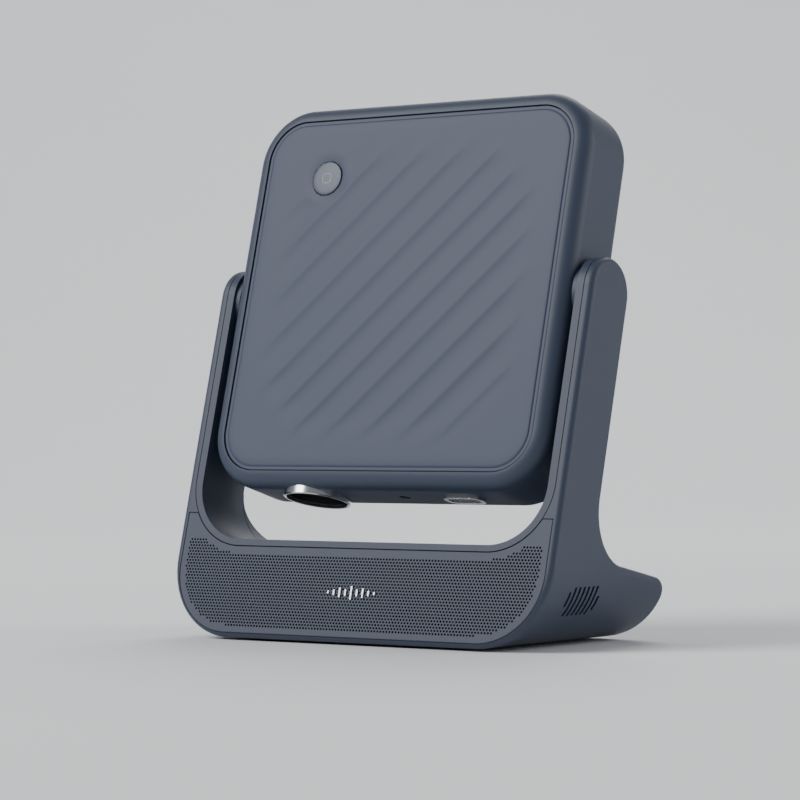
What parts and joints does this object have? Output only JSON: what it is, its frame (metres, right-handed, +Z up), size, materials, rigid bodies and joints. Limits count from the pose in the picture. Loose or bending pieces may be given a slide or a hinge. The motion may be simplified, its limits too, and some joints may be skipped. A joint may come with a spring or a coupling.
{
  "type": "home projector",
  "caption": "Flat square projector head on a friction tilt hinge between the arms of a leaning U-shaped speaker stand, with lens, sensors, focus drive and cooling inside.",
  "frame": {"origin": "on the surface the feet stand on, at the middle of the stand's width and depth", "axes": "+X to the viewer's right, +Y to the back, +Z up; the front face with the grille looks along -Y"},
  "size_m": [0.19, 0.1004, 0.2271],
  "materials": {
    "shell_plastic": "fine matt texture, blue-grey",
    "cover_plastic": "soft-touch matt, blue-grey",
    "grille_plastic": "matt, perforated",
    "dark_plastic": "matt black",
    "button_plastic": "satin, a little lighter than the cover",
    "silver_metal": "fine-turned, bright",
    "badge_metal": "satin",
    "steel": "zinc-plated, satin",
    "sink_aluminium": "extruded, satin",
    "brass": "machined",
    "rubber": "matt",
    "glass": "coated, clear",
    "dark_glass": "dark, glossy",
    "circuit_board": "green solder mask",
    "chip_plastic": "matt epoxy",
    "cone_paper": "matt",
    "magnet": "dull"
  },
  "bodies": {
    "stand": {"stand_shell": "shell_plastic", "stand_liner": "shell_plastic", "speaker_grille": "grille_plastic", "grille_badge": "badge_metal", "bottom_cover": "dark_plastic", "rubber_feet": "rubber", "tripod_insert": "brass", "base_screws": "steel", "speaker_box_left": "dark_plastic", "speaker_box_right": "dark_plastic", "speaker_basket_left": "steel", "speaker_basket_right": "steel", "speaker_cone_left": "cone_paper", "speaker_cone_right": "cone_paper", "speaker_magnets": "magnet", "amplifier_board": "circuit_board", "amplifier_parts": "chip_plastic", "arm_cable": "dark_plastic", "hinge_plate_left": "steel", "hinge_plate_right": "steel"},
    "projector": {"head_shell": "shell_plastic", "top_cover": "cover_plastic", "rear_cover": "shell_plastic", "rear_screws": "steel", "port_panel": "dark_plastic", "dc_socket": "dark_plastic", "hdmi_socket": "steel", "usb_socket": "steel", "audio_socket": "dark_plastic", "button_board": "circuit_board", "button_switch": "chip_plastic", "lens_ring": "silver_metal", "lens_baffle": "dark_plastic", "focus_motor": "steel", "light_engine": "dark_plastic", "led_modules": "circuit_board", "heat_sink": "sink_aluminium", "fan_frame": "dark_plastic", "main_board": "circuit_board", "board_shield": "steel", "board_parts": "chip_plastic", "sensor_frame": "silver_metal", "sensor_glass": "dark_glass", "sensor_camera": "dark_plastic", "ir_window": "dark_glass", "sensor_board": "circuit_board", "pivot_collar_left": "shell_plastic", "pivot_collar_right": "shell_plastic", "hinge_shaft_left": "steel", "hinge_shaft_right": "steel", "hinge_bracket_left": "steel", "hinge_bracket_right": "steel", "disc_springs": "steel", "hinge_nuts": "steel"},
    "power_button": {"power_button": "button_plastic"},
    "fan_rotor": {"fan_rotor": "dark_plastic"},
    "lens_group": {"lens_cell": "dark_plastic", "front_lens": "glass", "rear_lens": "glass"},
    "focus_screw": {"focus_screw": "brass"}
  },
  "joints": [
    {"name": "tilt_hinge", "type": "hinge", "parent": "stand", "child": "projector", "pos_m": [0, 0.00243, 0.14211], "axis": [-1, 0, 0], "range_deg": [0, 165]},
    {"name": "button_press", "type": "slide", "parent": "projector", "child": "power_button", "axis": [0, 0.9659, -0.2588], "range_m": [0, 0.0006], "stiffness_N_per_m": 1500, "springref_m": -0.0003},
    {"name": "fan_spin", "type": "hinge", "parent": "projector", "child": "fan_rotor", "pos_m": [-0.046, 0.01772, 0.16907], "axis": [0, 0.9659, -0.2588], "continuous": true},
    {"name": "focus_screw_turn", "type": "hinge", "parent": "projector", "child": "focus_screw", "pos_m": [-0.019, -0.01489, 0.07749], "axis": [0, 0.2588, 0.9659], "range_deg": [-433, 433]},
    {"name": "focus_slide", "type": "slide", "parent": "projector", "child": "lens_group", "axis": [0, 0.2588, 0.9659], "range_m": [-0.0006, 0.0006]}
  ],
  "couplings": [
    {"joint": "focus_screw_turn", "follows": "focus_slide", "rad_per_m": 12566}
  ]
}
